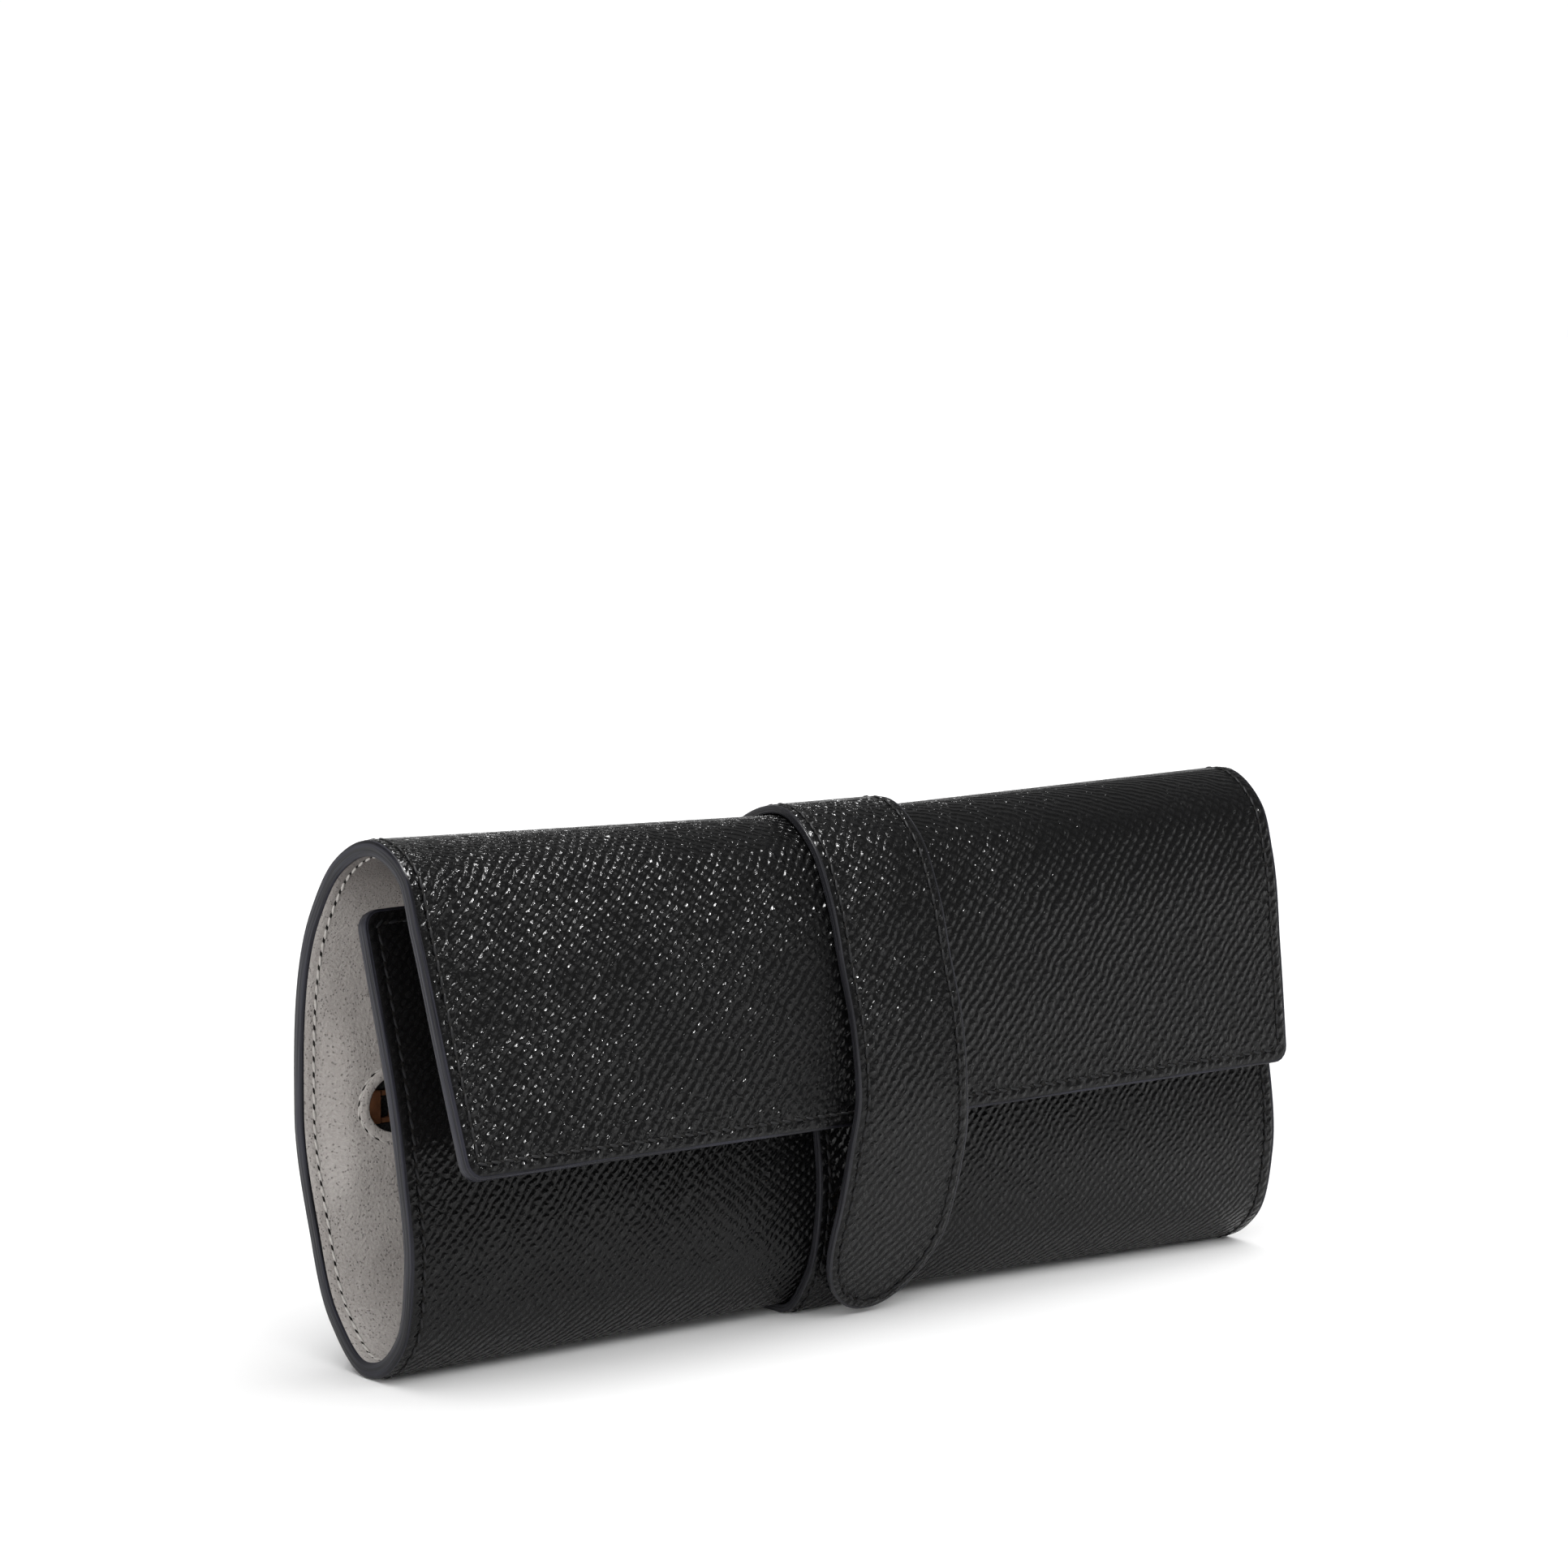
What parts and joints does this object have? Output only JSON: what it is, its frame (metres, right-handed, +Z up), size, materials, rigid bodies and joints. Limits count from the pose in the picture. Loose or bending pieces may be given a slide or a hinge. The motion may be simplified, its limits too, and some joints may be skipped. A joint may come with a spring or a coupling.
{
  "type": "jewelry roll",
  "caption": "Closed leather jewelry roll standing on its fold, with a strap and press-stud tongue, a zipped pocket in the lining and a ring bar.",
  "frame": {"origin": "under the middle of the closed roll, on the surface it stands on", "axes": "+X along the roll, -Y to the front where the flap hangs and the tongue closes, +Z up"},
  "size_m": [0.207, 0.0606, 0.098],
  "materials": {
    "outer_leather": "cross-grained and glossy",
    "lining_leather": "smooth, soft sheen",
    "stiffener": "matt",
    "cloth": "woven, matt",
    "brass": "polished",
    "stuffing": "soft felt"
  },
  "bodies": {
    "back": {"cover_back": "outer_leather", "board_back": "stiffener", "lining_back": "lining_leather", "pocket_back": "cloth", "zip_tape_upper": "cloth", "zip_tape_lower": "cloth", "zip_teeth_upper": "brass", "zip_teeth_lower": "brass", "zip_stop_bottom": "brass", "zip_stop_upper": "brass", "zip_stop_lower": "brass", "strap_back": "outer_leather"},
    "slider": {"zip_slider": "brass"},
    "pull": {"zip_pull": "brass"},
    "flap": {"cover_flap": "outer_leather", "board_flap": "stiffener", "lining_flap": "lining_leather", "strap_flap": "outer_leather"},
    "tongue": {"tongue_leather": "outer_leather", "tongue_lining": "outer_leather", "snap_socket": "brass"},
    "leaf": {"cover_leaf": "outer_leather", "board_leaf": "stiffener", "lining_leaf": "lining_leather", "band_leaf": "outer_leather", "snap_stud": "brass", "ring_bar_stud": "brass", "ring_bar_anchor": "lining_leather"},
    "ring_bar": {"ring_bar_sleeve": "lining_leather", "ring_bar_core": "stuffing", "ring_bar_cap": "brass"}
  },
  "joints": [
    {"name": "flap_hinge", "type": "hinge", "parent": "back", "child": "flap", "pos_m": [0, 0.00094, 0.098], "axis": [-1, 0, 0], "range_deg": [0, 180]},
    {"name": "leaf_hinge", "type": "hinge", "parent": "back", "child": "leaf", "pos_m": [0, 0.00018, 0], "axis": [1, 0, 0], "range_deg": [0, 90]},
    {"name": "tongue_hinge", "type": "hinge", "parent": "flap", "child": "tongue", "pos_m": [0, -0.01897, 0.07251], "axis": [-1, 0, 0], "range_deg": [0, 140]},
    {"name": "zip_slide", "type": "slide", "parent": "back", "child": "slider", "axis": [-1, 0, 0], "range_m": [0, 0.164]},
    {"name": "pull_hinge", "type": "hinge", "parent": "slider", "child": "pull", "pos_m": [0.0812, 0.02165, 0.04508], "axis": [0, 0, 1], "range_deg": [0, 120]},
    {"name": "ring_bar_hinge", "type": "hinge", "parent": "leaf", "child": "ring_bar", "pos_m": [0.06702, -0.00664, 0.0361], "axis": [-0.0151, -0.1495, -0.9887], "range_deg": [0, 45]}
  ],
  "couplings": [
    {"joint": "leaf_hinge", "follows": "flap_hinge", "ratio": 0.5},
    {"joint": "ring_bar_hinge", "follows": "flap_hinge", "ratio": 0.25}
  ]
}
